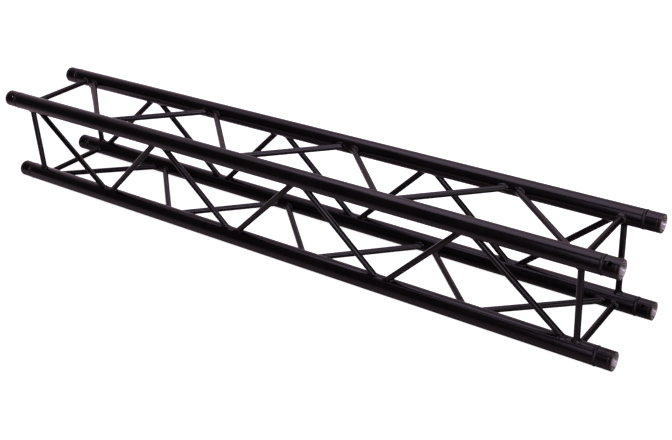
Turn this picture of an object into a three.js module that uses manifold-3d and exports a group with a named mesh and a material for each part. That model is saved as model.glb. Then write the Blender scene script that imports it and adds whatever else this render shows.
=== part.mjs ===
// Lighting truss section: two metres of four-chord box truss. Every chord is a tube with a
// conical coupler receiver welded into each end, and a zigzag of thin tubes braces each face.
// Millimetres. +X runs along the truss, +Y to its back and +Z up; the origin is its middle.
import * as THREE from 'three';
import { mergeVertices } from 'three/addons/utils/BufferGeometryUtils.js';
import Module from 'manifold-3d';

// Overall size
const LENGTH = 2000; // over the faces of the receivers
const CHORD_SPACING = 238; // between the axes of neighbouring chords

// Tubes
const CHORD_RADIUS = 24;
const BRACE_RADIUS = 8;
const TUBE_WALL = 2; // of chords and braces alike
const CLEARANCE = 0.3; // between pieces that touch

// Bracing, the same on all four faces
const PANELS = 7; // diagonals along a face
const PANEL_PITCH = 248; // between the points where diagonals pair up on a chord
const PAIR_SPREAD = 22; // from such a point to the foot of either diagonal
const END_DIAGONAL_INSET = 131.5; // from the end of the truss to the first foot
const END_POST_INSET = 93.5; // from the end of the truss to the axis of the square post
const BRACE_EMBED = 12; // how far a brace runs past the chord's skin before it is coped

// Receiver, measured from its face along its axis
const HEAD_RADIUS = 23.6; // slightly under the chord
const HEAD_LENGTH = 40; // from the face to the weld
const EDGE_CHAMFER = 0.8;
const GROOVE_START = 7;
const GROOVE_WIDTH = 1.4;
const GROOVE_DEPTH = 0.4;
const NECK_LENGTH = 36; // the part that slides into the chord
const MOUTH_RADIUS = 21;
const LEAD_IN_DEPTH = 20; // from the face to the large end of the conical seat
const SEAT_START_RADIUS = 15;
const SEAT_END_DEPTH = 58; // from the face to the small end of the conical seat
const SEAT_END_RADIUS = 12.5;
const PIN_HOLE_RADIUS = 6;
const PIN_HOLE_INSET = 25; // from the face to the axis of the locking pin's hole

// Weld bead between receiver and chord
const BEAD_WIDTH = 7;
const BEAD_CROWN = 1; // above the chord's skin

// Facets around each round piece
const CHORD_SIDES = 24;
const BRACE_SIDES = 12;
const PIN_HOLE_SIDES = 12;

const BLACK_COAT = { color: 0x17121a, roughness: 0.42, metalness: 0.25 };
const COATED_CASTING = { color: 0x1b161c, roughness: 0.5, metalness: 0.35 };

const halfSpacing = CHORD_SPACING / 2;
const neckRadius = CHORD_RADIUS - TUBE_WALL - CLEARANCE;
const chordInset = HEAD_LENGTH + BEAD_WIDTH;

const wasm = await Module();
wasm.setup();

function solidOf(geometry) {
  const bare = geometry.clone();
  bare.deleteAttribute('normal');
  bare.deleteAttribute('uv');
  const welded = mergeVertices(bare);
  return new wasm.Manifold(new wasm.Mesh({
    numProp: 3,
    vertProperties: new Float32Array(welded.attributes.position.array),
    triVerts: new Uint32Array(welded.index.array),
  }));
}

function geometryOf(solid) {
  const mesh = solid.getMesh();
  const geometry = new THREE.BufferGeometry();
  geometry.setAttribute('position', new THREE.BufferAttribute(mesh.vertProperties, 3));
  geometry.setIndex(new THREE.BufferAttribute(mesh.triVerts, 1));
  geometry.computeVertexNormals();
  return geometry;
}

// A ring turned about the X axis from a closed outline of [along, radius] points.
function turned(outline, sides) {
  const points = [...outline, outline[0]].map(([along, radius]) => new THREE.Vector2(radius, along));
  return new THREE.LatheGeometry(points, sides).rotateZ(-Math.PI / 2);
}

function tube(length, radius, wall, sides) {
  const half = length / 2;
  return turned([[-half, radius], [half, radius], [half, radius - wall], [-half, radius - wall]], sides);
}

function rodAlongX(length, radius, sides) {
  return new THREE.CylinderGeometry(radius, radius, length, sides).rotateZ(-Math.PI / 2);
}

function chordGeometry() {
  return tube(LENGTH - 2 * (chordInset + CLEARANCE), CHORD_RADIUS, TUBE_WALL, CHORD_SIDES);
}

// The receiver's face is at the origin and its neck points along +X. Its pin hole lies along Z.
function receiverGeometry() {
  const neckEnd = HEAD_LENGTH + NECK_LENGTH;
  const body = solidOf(turned([
    [0, HEAD_RADIUS - EDGE_CHAMFER],
    [EDGE_CHAMFER, HEAD_RADIUS],
    [GROOVE_START, HEAD_RADIUS],
    [GROOVE_START, HEAD_RADIUS - GROOVE_DEPTH],
    [GROOVE_START + GROOVE_WIDTH, HEAD_RADIUS - GROOVE_DEPTH],
    [GROOVE_START + GROOVE_WIDTH, HEAD_RADIUS],
    [HEAD_LENGTH - CLEARANCE, HEAD_RADIUS],
    [HEAD_LENGTH - CLEARANCE, neckRadius],
    [neckEnd, neckRadius],
    [neckEnd, SEAT_END_RADIUS],
    [SEAT_END_DEPTH, SEAT_END_RADIUS],
    [LEAD_IN_DEPTH, SEAT_START_RADIUS],
    [0, MOUTH_RADIUS],
  ], CHORD_SIDES));
  const drill = new THREE.CylinderGeometry(PIN_HOLE_RADIUS, PIN_HOLE_RADIUS, 3 * HEAD_RADIUS, PIN_HOLE_SIDES);
  drill.rotateX(Math.PI / 2).translate(PIN_HOLE_INSET, 0, 0);
  return geometryOf(body.subtract(solidOf(drill)));
}

// A domed band that fills the groove between the receiver's head and the chord's end.
function beadGeometry() {
  const half = BEAD_WIDTH / 2;
  const bore = neckRadius + CLEARANCE;
  const crown = CHORD_RADIUS + BEAD_CROWN;
  return turned([
    [-half, bore],
    [-half, CHORD_RADIUS],
    [-half / 3, crown],
    [half / 3, crown],
    [half, CHORD_RADIUS],
    [half, bore],
  ], CHORD_SIDES);
}

// A brace between a chord above and a chord below. It falls towards +X by `run` between its
// two feet, which are coped to the chords, and its middle is at the origin.
function braceGeometry(run) {
  const drop = CHORD_SPACING - 2 * CHORD_RADIUS;
  const slant = Math.atan2(drop, run);
  const length = Math.hypot(run, drop) + 2 * BRACE_EMBED;
  const blank = solidOf(tube(length, BRACE_RADIUS, TUBE_WALL, BRACE_SIDES).rotateY(slant));
  const chord = rodAlongX(run + CHORD_SPACING, CHORD_RADIUS + CLEARANCE, CHORD_SIDES);
  const above = solidOf(chord.clone().translate(0, 0, halfSpacing));
  const below = solidOf(chord.clone().translate(0, 0, -halfSpacing));
  return geometryOf(blank.subtract(above).subtract(below));
}

function piece(name, geometry, finish) {
  const mesh = new THREE.Mesh(geometry, new THREE.MeshStandardMaterial(finish));
  mesh.name = name;
  return mesh;
}

// A chord with a receiver and a weld bead at each end. The side is -1 at the left and +1 at
// the right; the right receiver is turned end for end about its pin hole, and both pin holes
// point away from the middle of the truss.
function chordAssembly(corner, y, z) {
  const assembly = new THREE.Group();
  assembly.position.set(0, y, z);
  assembly.add(piece(`chord_${corner}`, chordGeometry(), BLACK_COAT));
  for (const [end, side] of [['left', -1], ['right', 1]]) {
    const receiver = piece(`receiver_${corner}_${end}`, receiverGeometry(), COATED_CASTING);
    receiver.position.x = side * LENGTH / 2;
    receiver.rotation.set(Math.PI / 4, 0, side > 0 ? Math.PI : 0);
    const bead = piece(`weld_bead_${corner}_${end}`, beadGeometry(), BLACK_COAT);
    bead.position.x = side * (LENGTH / 2 - HEAD_LENGTH - BEAD_WIDTH / 2);
    assembly.add(receiver, bead);
  }
  return assembly;
}

// Where the diagonals of a face start and end along X, from left to right.
function diagonalSpans() {
  const firstFoot = END_DIAGONAL_INSET - LENGTH / 2;
  const spans = [];
  for (let panel = 0; panel < PANELS; panel += 1) {
    const pairBefore = (panel - PANELS / 2) * PANEL_PITCH;
    const start = panel === 0 ? firstFoot : pairBefore + PAIR_SPREAD;
    const end = panel === PANELS - 1 ? -firstFoot : pairBefore + PANEL_PITCH - PAIR_SPREAD;
    spans.push({ middle: (start + end) / 2, run: end - start });
  }
  return spans;
}

// The seven diagonals and two square posts of one face, in the plane of its two chords.
// Diagonals fall and rise in turn, from the upper chord at the left.
function faceBracing(face) {
  const bracing = new THREE.Group();
  bracing.position.y = -halfSpacing;
  diagonalSpans().forEach(({ middle, run }, index) => {
    const diagonal = piece(`diagonal_${face}_${index + 1}`, braceGeometry(run), BLACK_COAT);
    diagonal.position.x = middle;
    diagonal.rotation.z = index % 2 === 0 ? 0 : Math.PI;
    bracing.add(diagonal);
  });
  for (const [end, side] of [['left', -1], ['right', 1]]) {
    const post = piece(`end_post_${face}_${end}`, braceGeometry(0), BLACK_COAT);
    post.position.x = side * (LENGTH / 2 - END_POST_INSET);
    bracing.add(post);
  }
  return bracing;
}

// Each quarter turn about X carries one chord and one face of bracing to the next, so the
// zigzags run around the truss instead of mirroring each other.
const QUARTERS = [
  ['top_front', 'front'],
  ['bottom_front', 'bottom'],
  ['bottom_back', 'back'],
  ['top_back', 'top'],
];

const truss = new THREE.Group();
QUARTERS.forEach(([corner, face], turn) => {
  const quarter = new THREE.Group();
  quarter.rotation.x = turn * Math.PI / 2;
  quarter.add(chordAssembly(corner, -halfSpacing, halfSpacing), faceBracing(face));
  truss.add(quarter);
});

export default truss;
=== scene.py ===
"""Looks for the lighting truss section: a black four-chord box truss on a pale studio floor."""
import math
import random

import bmesh
import bpy
from mathutils import Matrix, Vector


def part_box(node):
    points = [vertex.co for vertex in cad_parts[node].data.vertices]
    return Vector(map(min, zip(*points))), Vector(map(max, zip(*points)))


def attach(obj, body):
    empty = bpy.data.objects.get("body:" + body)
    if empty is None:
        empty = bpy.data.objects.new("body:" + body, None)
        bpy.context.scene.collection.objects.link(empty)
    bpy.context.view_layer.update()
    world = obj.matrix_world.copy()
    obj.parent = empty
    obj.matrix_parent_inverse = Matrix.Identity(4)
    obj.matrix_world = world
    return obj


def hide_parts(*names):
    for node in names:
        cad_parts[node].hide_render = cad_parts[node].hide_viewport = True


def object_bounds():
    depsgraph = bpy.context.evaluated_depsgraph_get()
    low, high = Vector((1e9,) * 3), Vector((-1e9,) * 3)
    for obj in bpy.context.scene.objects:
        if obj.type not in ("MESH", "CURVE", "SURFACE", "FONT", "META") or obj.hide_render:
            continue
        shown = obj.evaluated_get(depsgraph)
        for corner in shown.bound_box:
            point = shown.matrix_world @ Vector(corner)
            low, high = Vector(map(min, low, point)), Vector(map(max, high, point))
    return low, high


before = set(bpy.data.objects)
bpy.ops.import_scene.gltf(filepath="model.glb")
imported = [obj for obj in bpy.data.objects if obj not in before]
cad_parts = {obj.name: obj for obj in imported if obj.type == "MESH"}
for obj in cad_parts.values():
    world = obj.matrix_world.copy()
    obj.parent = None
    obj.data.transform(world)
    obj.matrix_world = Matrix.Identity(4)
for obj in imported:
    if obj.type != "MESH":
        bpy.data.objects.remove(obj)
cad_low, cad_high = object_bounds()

MM = 0.001
TURN = 2 * math.pi
LENGTHWAYS = Vector((1, 0, 0))
UP = Vector((0, 0, 1))

# The four corners in the order that a quarter turn about X takes them, and the face of
# bracing that runs from each corner's chord to the next one's.
CORNERS = ["top_front", "bottom_front", "bottom_back", "top_back"]
FACES = ["front", "bottom", "back", "top"]
ENDS = {"left": -1, "right": 1}
PANELS = 7

# How finely round pieces are divided
CHORD_SIDES = 160
BRACE_SIDES = 64
BEAD_SIDES = 360
BEAD_STEPS = 14
DRILL_SIDES = 64
FILLET_STEPS = 132
FILLET_ARC_STEPS = 7
CORNER_STEPS = 4
SHARP_ANGLE = math.radians(32)

# Sizes of details that the frame doesn't hold
TUBE_WALL = 2 * MM
CLEARANCE = 0.3 * MM
EDGE_ROUND = 0.35 * MM
EDGE_SHARE = 0.45  # the most of an edge that the rounding of one of its corners may take

# The receiver, measured from its face
HEAD_LENGTH = 40 * MM
FACE_CHAMFER = 0.8 * MM
GROOVE_INSET = 7 * MM
GROOVE_WIDTH = 1.8 * MM
GROOVE_DEPTH = 0.8 * MM
GROOVE_SLOPE = 0.25 * MM
WELD_BEVEL = 1 * MM
MOUTH_RADIUS = 21 * MM
LEAD_IN_DEPTH = 20 * MM
SEAT_START_RADIUS = 15 * MM
SEAT_END_DEPTH = 58 * MM
SEAT_END_RADIUS = 12.5 * MM
BARE_DEPTH = 15 * MM  # the socket's wall is uncoated down to here
PIN_HOLE_RADIUS = 6 * MM
PIN_HOLE_INSET = 25 * MM
PIN_HOLE_FLARE = 0.3 * MM
PIN_TAPER = 0.05  # diameter lost for each unit of length
OUTLINE_STEP = 1.5 * MM  # between points along the receiver's long stretches

# Braces
POST_EXTENT = 2.5  # radii; a brace whose box is shorter than this stands square
SLANT_ROUNDS = 40

# Welds
BEAD_TOE_DEPTH = 1 * MM  # the dips on either side of a bead, below the chord's skin
BEAD_DOME = 0.6  # a lower power makes the bead's top flatter
BEAD_HEIGHTS = (0.75, 1.0)  # the least and most that a ripple's height is scaled by
BEAD_RIPPLE = 0.28  # the share of that height that rises and falls with each ripple
BEAD_BOW = 0.35  # of a ripple, by which its ends lie behind its middle
RIPPLE_PITCH = 2.5 * MM
RIPPLE_RISE = 0.6  # a lower power makes each ripple rise quicker
FILLET_LEG = 4.6 * MM
FILLET_SIZES = (0.86, 1.12)  # the least and most that the leg is scaled by
FILLET_FULLNESS = 0.56  # hollow below 0.5
FILLET_RIPPLE = 0.16  # what a ripple adds to the fullness
FILLET_OVERLAP = 0.8 * MM  # how far the fillet's hidden corner reaches under brace and chord
FILLET_SINK = 0.12 * MM  # how far its toe dips under the chord's skin
BEAD_SEED = 7
FILLET_SEED = 11

# Colours of the finishes
COAT_DARK = (0.0009, 0.0006, 0.0009)
COAT_PALE = (0.0024, 0.0017, 0.0024)
SCUFF = (0.0112, 0.010, 0.0088, 1)
# Bare metal of rubbed edges, also the colour of painted glint lines on the receivers' groove and
# weld-end edges
WORN_METAL_AND_GLINT = (0.20, 0.15, 0.135, 1)
# A painted shade and a painted highlight of one aluminium, laid in streaks that stand in for the
# streaky reflections of turned metal
METAL_PAINTED_SHADE = (0.22, 0.20, 0.18, 1)
METAL_PAINTED_HIGHLIGHT = (0.97, 0.96, 0.90, 1)
METAL_STAIN = (0.30, 0.24, 0.22, 1)

# Tints of the lights, which lean to purple as the coat's reflections do
PURPLE = (1.06, 0.82, 1.16)
ROSE = (1.15, 0.84, 1.0)
BLUE = (0.94, 0.90, 1.22)
NEARLY_WHITE = (1, 0.95, 1)
CEILING = 1.5  # height of the lights
FLOOR_SIZE = 60


# ---------------------------------------------------------------- shader helpers

def new_material(name):
    material = bpy.data.materials.new(name)
    material.use_nodes = True
    tree = material.node_tree
    return material, tree, tree.nodes["Principled BSDF"]


def feed(tree, socket, value):
    """Links the value to the socket if it comes from a node, and sets it otherwise."""
    if isinstance(value, bpy.types.NodeSocket):
        tree.links.new(value, socket)
    else:
        socket.default_value = value


def node(tree, kind, inputs=None, **settings):
    made = tree.nodes.new(kind)
    for key, value in settings.items():
        setattr(made, key, value)
    for key, value in (inputs or {}).items():
        feed(tree, made.inputs[key], value)
    return made


def noise(tree, vector, scale, detail=3, roughness=0.5):
    inputs = {"Vector": vector, "Scale": scale, "Detail": detail, "Roughness": roughness}
    return node(tree, "ShaderNodeTexNoise", inputs).outputs["Fac"]


def stretched(tree, vector, scale):
    return node(tree, "ShaderNodeMapping", {"Vector": vector, "Scale": scale}).outputs["Vector"]


def remap(tree, value, low, high, to_low, to_high):
    inputs = {
        "Value": value,
        "From Min": low,
        "From Max": high,
        "To Min": to_low,
        "To Max": to_high,
    }
    return node(tree, "ShaderNodeMapRange", inputs).outputs["Result"]


def math_node(tree, operation, first, second):
    made = node(tree, "ShaderNodeMath", {0: first, 1: second}, operation=operation)
    return made.outputs["Value"]


def mix_colours(tree, factor, first, second):
    # Sockets 6 and 7 of the mix node are its two colours, and output 2 is the mixed one.
    made = node(tree, "ShaderNodeMix", data_type="RGBA")
    feed(tree, made.inputs["Factor"], factor)
    feed(tree, made.inputs[6], first)
    feed(tree, made.inputs[7], second)
    return made.outputs[2]


def bump(tree, height, distance, strength=1.0, after=None):
    inputs = {"Height": height, "Distance": distance, "Strength": strength}
    if after is not None:
        inputs["Normal"] = after
    return node(tree, "ShaderNodeBump", inputs).outputs["Normal"]


def grey(value):
    return (value, value, value, 1)


# ---------------------------------------------------------------- materials

def powder_coat(name, tint=1.0, rough=0.21, peel=1.0):
    """Satin black powder coat: faint mottling, orange peel and metal showing on rubbed edges, which
    on the receivers' groove and weld-end edges is also a painted glint.
    """
    material, tree, shader = new_material(name)
    place = node(tree, "ShaderNodeTexCoord").outputs["Object"]
    wear_and_glint = node(tree, "ShaderNodeAttribute", attribute_name="wear_and_glint").outputs["Fac"]

    mottle = noise(tree, place, scale=9, detail=4)
    dark = (*(channel * tint for channel in COAT_DARK), 1)
    pale = (*(channel * tint for channel in COAT_PALE), 1)
    coat = mix_colours(tree, remap(tree, mottle, 0.35, 0.7, 0, 1), dark, pale)
    lengthways = stretched(tree, place, (3, 40, 40))
    scuffs = noise(tree, lengthways, scale=6, detail=6, roughness=0.7)
    scuffed = mix_colours(tree, remap(tree, scuffs, 0.62, 0.8, 0, 0.35), coat, SCUFF)
    chips = noise(tree, place, scale=700, detail=4, roughness=0.7)
    # Metal shows on edges given a value: rubbed edges, and on the receivers' groove and weld-end
    # edges a painted glint line as well
    bare = math_node(tree, "MULTIPLY", wear_and_glint, remap(tree, chips, 0.45, 0.6, 0.15, 1))
    feed(tree, shader.inputs["Base Color"], mix_colours(tree, bare, scuffed, WORN_METAL_AND_GLINT))

    fine = noise(tree, place, scale=1400, detail=2)
    broad_roughness = remap(tree, mottle, 0.3, 0.7, rough - 0.03, rough + 0.05)
    fine_roughness = remap(tree, fine, 0.3, 0.7, -0.03, 0.03)
    roughness = math_node(tree, "ADD", broad_roughness, fine_roughness)
    feed(tree, shader.inputs["Roughness"], roughness)
    feed(tree, shader.inputs["Metallic"], math_node(tree, "MULTIPLY", bare, 0.7))

    orange_peel = noise(tree, place, scale=420, detail=2, roughness=0.4)
    rolled = bump(tree, orange_peel, 0.02 * MM * peel, strength=0.4)
    grained = bump(tree, fine, 0.006 * MM * peel, strength=0.5, after=rolled)
    feed(tree, shader.inputs["Normal"], grained)
    return material


def turned_aluminium(name):
    """Bare turned aluminium: tool rings round the socket, a few stains, and streaks along it:
    drawing marks in the bump, and painted light and dark reflection streaks in the colour.
    """
    material, tree, shader = new_material(name)
    place = node(tree, "ShaderNodeTexCoord").outputs["Object"]
    rings = noise(tree, stretched(tree, place, (1, 0.02, 0.02)), scale=2600, roughness=0.6)
    streaks = noise(tree, stretched(tree, place, (0.25, 1, 1)), scale=160, roughness=0.6)
    # Painted reflection: along the streaks the colour swings between a lit and a shaded copy of the
    # metal
    painted_reflection_streaks = mix_colours(tree, remap(tree, streaks, 0.4, 0.6, 0, 1), METAL_PAINTED_SHADE, METAL_PAINTED_HIGHLIGHT)
    stains = remap(tree, noise(tree, place, scale=90, detail=4), 0.6, 0.75, 0, 0.5)
    feed(tree, shader.inputs["Base Color"], mix_colours(tree, stains, painted_reflection_streaks, METAL_STAIN))
    shader.inputs["Metallic"].default_value = 0.6
    feed(tree, shader.inputs["Roughness"], remap(tree, rings, 0.3, 0.7, 0.26, 0.44))
    grooved = bump(tree, rings, 0.03 * MM, strength=0.5)
    drawn = bump(tree, streaks, 0.12 * MM, strength=0.4, after=grooved)
    feed(tree, shader.inputs["Normal"], drawn)
    return material


MATERIALS = {
    "chord_coating": powder_coat("chord_powder_coat"),
    "brace_coating": powder_coat("brace_powder_coat", rough=0.22),
    "weld_coating": powder_coat("weld_powder_coat", tint=1.1, rough=0.17, peel=1.4),
    "receiver_coating": powder_coat("receiver_powder_coat", tint=1.05, rough=0.20),
    "bare": turned_aluminium("turned_aluminium"),
}


# ---------------------------------------------------------------- mesh helpers

def centre_of(name):
    low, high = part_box(name)
    return (Vector(low) + Vector(high)) / 2


def size_of(name):
    low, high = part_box(name)
    return Vector(high) - Vector(low)


def wrapped_mesh(name, rows, wear_and_glint=None, second_material=()):
    """A closed mesh from a grid of points that wraps round both ways. Each row of the grid can
    have a value for rubbed edges and painted glints, and rows listed in second_material take the
    piece's second material."""
    bm = bmesh.new()
    wear_and_glint_layer = bm.verts.layers.float.new("wear_and_glint")
    grid = []
    for index, row in enumerate(rows):
        verts = [bm.verts.new(point) for point in row]
        for vert in verts:
            vert[wear_and_glint_layer] = wear_and_glint[index] if wear_and_glint else 0.0
        grid.append(verts)
    for i, row in enumerate(grid):
        following = grid[(i + 1) % len(grid)]
        for j in range(len(row)):
            k = (j + 1) % len(row)
            face = bm.faces.new((row[j], row[k], following[k], following[j]))
            face.smooth = True
            face.material_index = 1 if i in second_material else 0
    bmesh.ops.recalc_face_normals(bm, faces=bm.faces)
    mesh = bpy.data.meshes.new(name)
    bm.to_mesh(mesh)
    bm.free()
    mesh.set_sharp_from_angle(angle=SHARP_ANGLE)
    return mesh


def add_piece(name, mesh, location, slot, replaced=(), second=None):
    mesh.materials.append(MATERIALS[slot])
    if second:
        mesh.materials.append(MATERIALS[second])
    piece = bpy.data.objects.new(name, mesh)
    piece.location = location
    bpy.context.collection.objects.link(piece)
    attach(piece, "root")
    if replaced:
        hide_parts(*replaced)
    return piece


def curve_point(start, control, end, t):
    """Where the quadratic curve from start to end is at t, which runs from 0 to 1."""
    return start * (1 - t) ** 2 + control * 2 * t * (1 - t) + end * t ** 2


def rounded(outline, radius):
    """The closed outline with every corner rounded, and which corner each point belongs to."""
    points, corner_of = [], []
    count = len(outline)
    for index in range(count):
        before, here, after = (Vector(outline[(index + k) % count]) for k in (-1, 0, 1))
        back, ahead = before - here, after - here
        half_angle = back.angle(ahead) / 2
        longest = min(back.length, ahead.length) * EDGE_SHARE
        reach = min(radius / math.tan(half_angle), longest)
        start, end = here + back.normalized() * reach, here + ahead.normalized() * reach
        for step in range(CORNER_STEPS + 1):
            points.append(curve_point(start, here, end, step / CORNER_STEPS))
            corner_of.append(index)
    return points, corner_of


def spun(points, sides):
    """Rows of a grid made by turning (along, radius) points about the X axis."""
    angles = [TURN * k / sides for k in range(sides)]
    return [[(x, r * math.cos(a), r * math.sin(a)) for a in angles] for x, r in points]


# ---------------------------------------------------------------- chords

def make_chord(corner):
    node_name = f"chord_{corner}"
    size = size_of(node_name)
    half, radius = size.x / 2, size.z / 2
    bore = radius - TUBE_WALL
    outline = [(-half, radius), (half, radius), (half, bore), (-half, bore)]
    points, _ = rounded(outline, EDGE_ROUND)
    mesh = wrapped_mesh(node_name, spun(points, CHORD_SIDES))
    add_piece(f"{node_name}_tube", mesh, centre_of(node_name), "chord_coating", [node_name])


# ---------------------------------------------------------------- receivers

def receiver_outline(head, neck, length):
    """(along, radius) corners from the face inwards, and how much metal shows at each: rubbed
    edges, with painted glint lines at the groove and weld-end edges as well.
    """
    groove_end = GROOVE_INSET + GROOVE_WIDTH
    groove_floor = head - GROOVE_DEPTH
    weld_end = HEAD_LENGTH - CLEARANCE
    return [
        (0, head - FACE_CHAMFER, 0.8),
        (FACE_CHAMFER, head, 0.75),
        # The groove's edges and the weld end's bevel show metal that also paints their glint lines
        (GROOVE_INSET, head, 0.3),
        (GROOVE_INSET + GROOVE_SLOPE, groove_floor, 0),
        (groove_end - GROOVE_SLOPE, groove_floor, 0),
        (groove_end, head, 0.35),
        (weld_end - WELD_BEVEL, head, 0.4),
        (weld_end, head - WELD_BEVEL, 0.5),
        (weld_end, neck, 0),
        (length, neck, 0),
        (length, SEAT_END_RADIUS, 0),
        (SEAT_END_DEPTH, SEAT_END_RADIUS, 0),
        (LEAD_IN_DEPTH, SEAT_START_RADIUS, 0),
        (0, MOUTH_RADIUS, 0.9),
    ]


def is_bare(point):
    """Whether an outline point is on the uncoated wall of the socket, near its mouth."""
    along, radius = point
    return along < BARE_DEPTH and radius < MOUTH_RADIUS


def finer(points, corner_of, step):
    """The outline with more points on its long stretches, for the pin hole to cross cleanly.
    Each point comes with its corner and whether it is one of the added ones."""
    made = []
    for index, here in enumerate(points):
        after = points[(index + 1) % len(points)]
        made.append((here, corner_of[index], False))
        cuts = int(abs(after[0] - here[0]) / step)
        for cut in range(1, cuts):
            made.append((here.lerp(after, cut / cuts), corner_of[index], True))
    return made


def undrilled_receiver(name, head, neck, length):
    """The turned body, with its face at the origin and its neck along +X."""
    corners = receiver_outline(head, neck, length)
    points, corner_of = rounded([(along, radius) for along, radius, _ in corners], EDGE_ROUND)
    refined = finer(points, corner_of, OUTLINE_STEP)
    rows = spun([point for point, _, _ in refined], CHORD_SIDES)
    # Metal showing at each row's edge: rubbed edges, and painted glints on the groove and weld end
    wear_and_glint = [0.0 if added else corners[index][2] for _, index, added in refined]
    bare = [row for row, (point, _, _) in enumerate(refined) if is_bare(point)]
    return wrapped_mesh(name, rows, wear_and_glint, bare)


def drill(radius, reach):
    """A through drill along Z, tapered like its pin, with a flare where it breaks the skin."""
    far = radius - reach * PIN_TAPER
    flare = PIN_HOLE_FLARE  # a cone at 45 degrees, most of it outside the skin
    outline = [
        (reach + flare, radius + 1.6 * flare),
        (reach - 0.6 * flare, radius),
        (-reach + 0.6 * flare, far),
        (-reach - flare, far + 1.6 * flare),
    ]
    angles = [TURN * k / DRILL_SIDES for k in range(DRILL_SIDES)]
    bm = bmesh.new()
    rings = []
    for z, r in outline:
        rings.append([bm.verts.new((r * math.cos(a), r * math.sin(a), z)) for a in angles])
    for lower, upper in zip(rings, rings[1:]):
        for k in range(DRILL_SIDES):
            after = (k + 1) % DRILL_SIDES
            bm.faces.new((lower[k], lower[after], upper[after], upper[k]))
    bm.faces.new(rings[0])
    bm.faces.new(rings[-1])
    bmesh.ops.recalc_face_normals(bm, faces=bm.faces)
    for face in bm.faces:
        face.smooth = True
    mesh = bpy.data.meshes.new("drill")
    bm.to_mesh(mesh)
    bm.free()
    return bpy.data.objects.new("drill", mesh)


def with_pin_hole(mesh, head):
    """The mesh after the drill has gone through it along Z."""
    blank = bpy.data.objects.new("blank", mesh)
    cutter = drill(PIN_HOLE_RADIUS, head)
    cutter.location.x = PIN_HOLE_INSET
    for made in (blank, cutter):
        bpy.context.collection.objects.link(made)
    cut = blank.modifiers.new("pin_hole", "BOOLEAN")
    cut.object = cutter
    cut.operation = "DIFFERENCE"
    cut.solver = "EXACT"
    bpy.context.view_layer.update()
    evaluated = blank.evaluated_get(bpy.context.evaluated_depsgraph_get())
    drilled = bpy.data.meshes.new_from_object(evaluated)
    bpy.data.objects.remove(blank)
    bpy.data.objects.remove(cutter)
    drilled.set_sharp_from_angle(angle=SHARP_ANGLE)
    return drilled


def make_receiver(corner, end, side):
    node_name = f"receiver_{corner}_{end}"
    size = size_of(node_name)
    middle = centre_of(node_name)
    head = size.z / 2
    neck = size_of(f"chord_{corner}").z / 2 - TUBE_WALL - CLEARANCE
    drilled = with_pin_hole(undrilled_receiver(node_name, head, neck, size.x), head)
    drilled.name = node_name

    # The neck points to the truss's middle, and the pin hole away from the truss's axis.
    hole_axis = Vector((0, middle.y, middle.z)).normalized()
    inwards = LENGTHWAYS * -side
    turn = Matrix((inwards, hole_axis.cross(inwards), hole_axis)).transposed().to_4x4()
    drilled.transform(turn)
    face = Vector((middle.x + side * size.x / 2, middle.y, middle.z))
    add_piece(f"{node_name}_body", drilled, face, "receiver_coating", [node_name], "bare")


# ---------------------------------------------------------------- welds

def ripple(distance, pitch):
    """Overlapping scales: a quick rise and a slow fall, from 0 to 1."""
    phase = (distance / pitch) % 1
    return math.sin(math.pi * phase ** RIPPLE_RISE)


def make_bead(corner, end, rng):
    """The band that closes the groove between a receiver and its chord."""
    node_name = f"weld_bead_{corner}_{end}"
    size = size_of(node_name)
    half, crown = size.x / 2, size.z / 2
    skin = size_of(f"chord_{corner}").z / 2
    bore = skin - TUBE_WALL
    count = round(TURN * skin / RIPPLE_PITCH)
    start = rng.random() * TURN
    swell = [rng.uniform(*BEAD_HEIGHTS) for _ in range(count + 1)]
    toe = skin - BEAD_TOE_DEPTH
    rows = []
    for step in range(BEAD_STEPS + 1):
        across = 2 * step / BEAD_STEPS - 1
        dome = (1 - across ** 2) ** BEAD_DOME
        row = []
        for k in range(BEAD_SIDES):
            angle = TURN * k / BEAD_SIDES
            along_weld = (angle / TURN) * count + BEAD_BOW * across ** 2 + start
            rippled = 1 - BEAD_RIPPLE + BEAD_RIPPLE * ripple(along_weld, 1)
            lift = swell[int(along_weld) % count] * rippled
            radius = toe + (crown - toe) * dome * lift
            row.append((across * half, radius * math.cos(angle), radius * math.sin(angle)))
        rows.append(row)
    rows += spun([(half, bore), (-half, bore)], BEAD_SIDES)
    mesh = wrapped_mesh(node_name, rows)
    add_piece(f"{node_name}_ring", mesh, centre_of(node_name), "weld_coating", [node_name])


# ---------------------------------------------------------------- braces

class Face:
    """One face of bracing: the two chords it joins, and directions in its plane."""

    def __init__(self, index):
        self.name = FACES[index]
        self.chords = [CORNERS[index], CORNERS[(index + 1) % 4]]
        first, second = (centre_of(f"chord_{corner}") for corner in self.chords)
        self.first = first
        self.spacing = (second - first).length
        self.down = (second - first).normalized()
        self.out = self.down.cross(LENGTHWAYS)
        self.chord_radius = size_of(f"chord_{self.chords[0]}").z / 2

    def place(self, x, down, out):
        """A point from its places along the truss, down from the first chord and outwards."""
        return self.first + LENGTHWAYS * (x - self.first.x) + self.down * down + self.out * out


def brace_run(face, extent, radius):
    """Distance along the truss between a brace's feet, from the length of its box. The tube's
    slant sets how much of that length is its own width, so the two are found together."""
    is_square = extent < POST_EXTENT * radius
    if is_square:
        return 0.0
    drop = face.spacing - 2 * face.chord_radius
    run = 0.0
    for _ in range(SLANT_ROUNDS):
        slant = math.atan2(drop, run)
        run = extent - 2 * radius / math.sin(slant)
    return run


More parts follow.
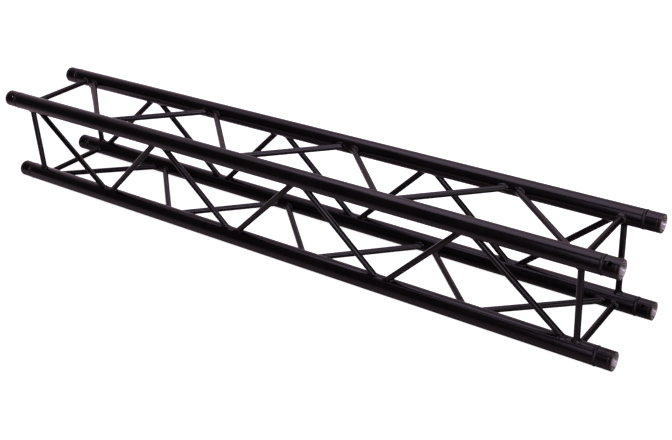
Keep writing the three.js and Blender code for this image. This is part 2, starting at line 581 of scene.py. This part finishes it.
class Brace:
    """A tube from a foot on the first chord to a foot on the second, in its face's plane."""

    def __init__(self, face, node_name, falls):
        self.face = face
        self.node_name = node_name
        size = size_of(node_name)
        middle = centre_of(node_name)
        self.radius = min(size.y, size.z) / 2
        run = brace_run(face, size.x, self.radius) * (1 if falls else -1)
        skin = face.chord_radius
        self.feet = [(middle.x - run / 2, skin), (middle.x + run / 2, face.spacing - skin)]
        length = math.hypot(run, face.spacing - 2 * skin)
        self.along = (run / length, (face.spacing - 2 * skin) / length)

    def on_chord(self, foot, angle, radius, chord_radius):
        """Where the tube's side at this angle meets the chord at foot 0 or 1: (x, down, out)."""
        dx, dd = self.along
        x0, d0 = self.feet[foot]
        out = radius * math.sin(angle)
        rise = math.sqrt(chord_radius ** 2 - out ** 2)
        target = rise if foot == 0 else self.face.spacing - rise
        slide = (target - d0 + radius * math.cos(angle) * dx) / dd
        return Vector((x0 + slide * dx + radius * math.cos(angle) * dd,
                       d0 + slide * dd - radius * math.cos(angle) * dx, out))

    def make(self):
        face = self.face
        angles = [TURN * k / BRACE_SIDES for k in range(BRACE_SIDES)]
        bore = self.radius - TUBE_WALL
        rows = []
        for foot, radius in ((0, self.radius), (1, self.radius), (1, bore), (0, bore)):
            rows.append([self.on_chord(foot, angle, radius, face.chord_radius) for angle in angles])
        middle = centre_of(self.node_name)
        placed = [[face.place(*point) - middle for point in row] for row in rows]
        mesh = wrapped_mesh(self.node_name, placed)
        add_piece(f"{self.node_name}_tube", mesh, middle, "brace_coating", [self.node_name])

    def fillet_rows(self, foot, rng):
        """Rows of the weld that fills the corner between tube and chord, all the way round."""
        face = self.face
        chord_axis = Vector((0, 0.0 if foot == 0 else face.spacing, 0))
        sunk_radius = face.chord_radius - FILLET_SINK
        away = Vector((self.along[0], self.along[1], 0)) * (1 if foot == 0 else -1)
        corners = []
        for k in range(FILLET_STEPS):
            angle = TURN * k / FILLET_STEPS
            corners.append(self.on_chord(foot, angle, self.radius, face.chord_radius))
        travelled, lengths = 0.0, []
        for k in range(FILLET_STEPS):
            lengths.append(travelled)
            travelled += (corners[(k + 1) % FILLET_STEPS] - corners[k]).length
        count = round(travelled / RIPPLE_PITCH)
        pitch = travelled / count
        swell = [rng.uniform(*FILLET_SIZES) for _ in range(count)]
        rows = []
        for k, corner in enumerate(corners):
            tangent = (corners[(k + 1) % FILLET_STEPS] - corners[k - 1]).normalized()
            normal = (corner - chord_axis) * Vector((0, 1, 1))
            spread = tangent.cross(normal.normalized())
            middle = Vector((self.feet[foot][0], corner.y, 0))
            if spread.dot(corner - middle) < 0:
                spread = -spread
            leg = FILLET_LEG * swell[int(lengths[k] / pitch) % count]
            fullness = FILLET_FULLNESS + FILLET_RIPPLE * ripple(lengths[k], pitch)
            toe_up = away * leg
            toe = corner + spread * leg - chord_axis
            shrink = sunk_radius / math.hypot(toe.y, toe.z)
            toe_out = Vector((toe.x, toe.y * shrink, toe.z * shrink)) + chord_axis - corner
            control = (toe_up + toe_out) * fullness
            row = [corner - (toe_up + toe_out).normalized() * FILLET_OVERLAP]
            for step in range(FILLET_ARC_STEPS + 1):
                t = step / FILLET_ARC_STEPS
                row.append(corner + curve_point(toe_up, control, toe_out, t))
            rows.append([face.place(*point) for point in row])
        return rows


def joined_mesh(name, parts):
    """One mesh from several wrapped grids."""
    bm = bmesh.new()
    for rows in parts:
        part = wrapped_mesh("part", rows)
        bm.from_mesh(part)
        bpy.data.meshes.remove(part)
    mesh = bpy.data.meshes.new(name)
    bm.to_mesh(mesh)
    bm.free()
    return mesh


def make_bracing():
    fillets = {corner: [] for corner in CORNERS}
    rng = random.Random(FILLET_SEED)
    for index in range(4):
        face = Face(index)
        braces = [Brace(face, f"diagonal_{face.name}_{k + 1}", k % 2 == 0) for k in range(PANELS)]
        braces += [Brace(face, f"end_post_{face.name}_{end}", True) for end in ENDS]
        for brace in braces:
            brace.make()
            for foot in (0, 1):
                fillets[face.chords[foot]].append(brace.fillet_rows(foot, rng))
    for corner, parts in fillets.items():
        mesh = joined_mesh(f"brace_welds_{corner}", parts)
        add_piece(f"brace_welds_{corner}", mesh, Vector(), "weld_coating")


def build_truss():
    rng = random.Random(BEAD_SEED)
    for corner in CORNERS:
        make_chord(corner)
        for end, side in ENDS.items():
            make_receiver(corner, end, side)
            make_bead(corner, end, rng)
    make_bracing()


# ---------------------------------------------------------------- studio

def make_floor():
    """A floor that glows evenly to the camera and leaves the truss's light to the lamps."""
    bpy.ops.mesh.primitive_plane_add(size=FLOOR_SIZE, location=(0, 0, cad_low[2]))
    floor = bpy.context.object
    floor.name = "studio_floor"
    material, tree, shader = new_material("pale_floor")
    shader.inputs["Base Color"].default_value = grey(0.88)
    shader.inputs["Roughness"].default_value = 0.9
    shader.inputs["Specular IOR Level"].default_value = 0.1
    shader.inputs["Emission Color"].default_value = grey(1)
    shader.inputs["Emission Strength"].default_value = 0.93
    floor.data.materials.append(material)
    floor.visible_glossy = False
    floor.visible_diffuse = False
    floor.visible_shadow = False


def add_softbox(name, place, facing, width, height, radiance, colour=PURPLE):
    light = bpy.data.lights.new(name, "AREA")
    light.shape = "RECTANGLE"
    light.size, light.size_y = width, height
    light.energy = radiance * math.pi * width * height
    light.color = colour
    box = bpy.data.objects.new(name, light)
    box.location = place
    box.rotation_euler = Vector(facing).to_track_quat("-Z", "Y").to_euler()
    box.visible_camera = False
    bpy.context.collection.objects.link(box)


def make_softboxes():
    add_softbox("overhead", (0.2, 0.35, CEILING), -UP, 2.2, 0.9, 1.25)
    add_softbox("overhead_back", (0.2, 1.2, CEILING), -UP, 2.2, 0.8, 0.45)
    add_softbox("overhead_left", (-1.4, 0.35, CEILING), -UP, 1.0, 1.2, 0.38)
    add_softbox("overhead_front", (0.4, -0.24, CEILING), -UP, 1.6, 0.28, 1.32)
    key_place = Vector((1.3, -1.7, CEILING))
    key_facing = Vector((0.2, 0, 0)) - key_place
    add_softbox("key", key_place, key_facing, 0.5, 0.5, 3.6, BLUE)
    add_softbox("key_surround", key_place, key_facing, 1.8, 1.8, 1.33)

    # Light that a pale floor would send back up, from just under the floor, which lets it by
    ground = cad_low[2] - 1.5 * MM
    add_softbox("front_bounce", (-0.25, -0.4, ground), UP, 3.1, 0.5, 0.15, ROSE)
    add_softbox("back_bounce", (-0.15, 0.43, ground), UP, 2.9, 0.54, 0.15, ROSE)
    add_softbox("left_bounce", (-1.72, 0.13, ground), UP, 1.35, 0.93, 0.18, ROSE)


def add_glow(tree, direction, towards, begins, full, light, so_far):
    """The colour so far with a soft patch of light round one direction of the sky. The patch
    begins and is full at these cosines of the angle from that direction."""
    inputs = {0: direction, 1: Vector(towards).normalized()}
    facing = node(tree, "ShaderNodeVectorMath", inputs, operation="DOT_PRODUCT").outputs["Value"]
    inputs = {"Value": facing, "From Min": begins, "From Max": full}
    ramp = node(tree, "ShaderNodeMapRange", inputs, interpolation_type="SMOOTHSTEP")
    inputs = {0: light, "Scale": ramp.outputs["Result"]}
    glow = node(tree, "ShaderNodeVectorMath", inputs, operation="SCALE").outputs["Vector"]
    inputs = {0: so_far, 1: glow}
    return node(tree, "ShaderNodeVectorMath", inputs, operation="ADD").outputs["Vector"]


def times(radiance, tint):
    return [radiance * channel for channel in tint]


def make_surroundings():
    """White to the camera; to the truss, a dim room that glows behind and beside it."""
    world = bpy.data.worlds.new("studio")
    world.use_nodes = True
    bpy.context.scene.world = world
    tree = world.node_tree
    direction = node(tree, "ShaderNodeTexCoord").outputs["Generated"]
    glows = [
        ((-0.7, 0.7, 0.2), 0.5, 0.95, times(0.26, ROSE)),
        ((-0.75, 0.6, -0.25), 0.75, 0.98, times(0.27, PURPLE)),
        ((0, 1, 0.15), 0.75, 0.97, times(0.145, ROSE)),
        ((-0.7, -0.2, -0.7), 0.6, 0.95, times(0.08, ROSE)),
        ((0.9, -0.2, -0.4), 0.6, 0.95, times(0.10, ROSE)),
        ((1, -0.25, 0.15), 0.75, 0.97, times(1.1, NEARLY_WHITE)),
    ]
    room = times(0.05, ROSE)
    for towards, begins, full, light in glows:
        room = add_glow(tree, direction, towards, begins, full, light, room)
    seen = node(tree, "ShaderNodeLightPath").outputs["Is Camera Ray"]
    colour = mix_colours(tree, seen, room, grey(1))
    feed(tree, tree.nodes["Background"].inputs["Color"], colour)


def make_camera():
    """The photograph's viewing angle: from the right, front and above, slightly rolled."""
    azimuth, elevation, roll = (math.radians(angle) for angle in (34.717, 27.968, -1.909))
    aim = Vector((0.2356, 0.1201, -0.0668))
    distance = 2.8308
    sideways = Vector((math.sin(azimuth), -math.cos(azimuth), 0))
    back = sideways * math.cos(elevation) + UP * math.sin(elevation)
    camera = bpy.data.cameras.new("camera")
    camera.lens = 55.32
    camera.sensor_width = 36
    camera.shift_x = -0.0782
    camera.shift_y = -0.0069
    level = (-back).to_track_quat("-Z", "Y")
    holder = bpy.data.objects.new("camera", camera)
    holder.location = aim + back * distance
    holder.rotation_mode = "QUATERNION"
    holder.rotation_quaternion = level @ Matrix.Rotation(roll, 3, "Z").to_quaternion()
    bpy.context.collection.objects.link(holder)
    bpy.context.scene.camera = holder


make_camera()
build_truss()
make_floor()
make_softboxes()
make_surroundings()
bpy.context.scene.view_settings.view_transform = "Standard"
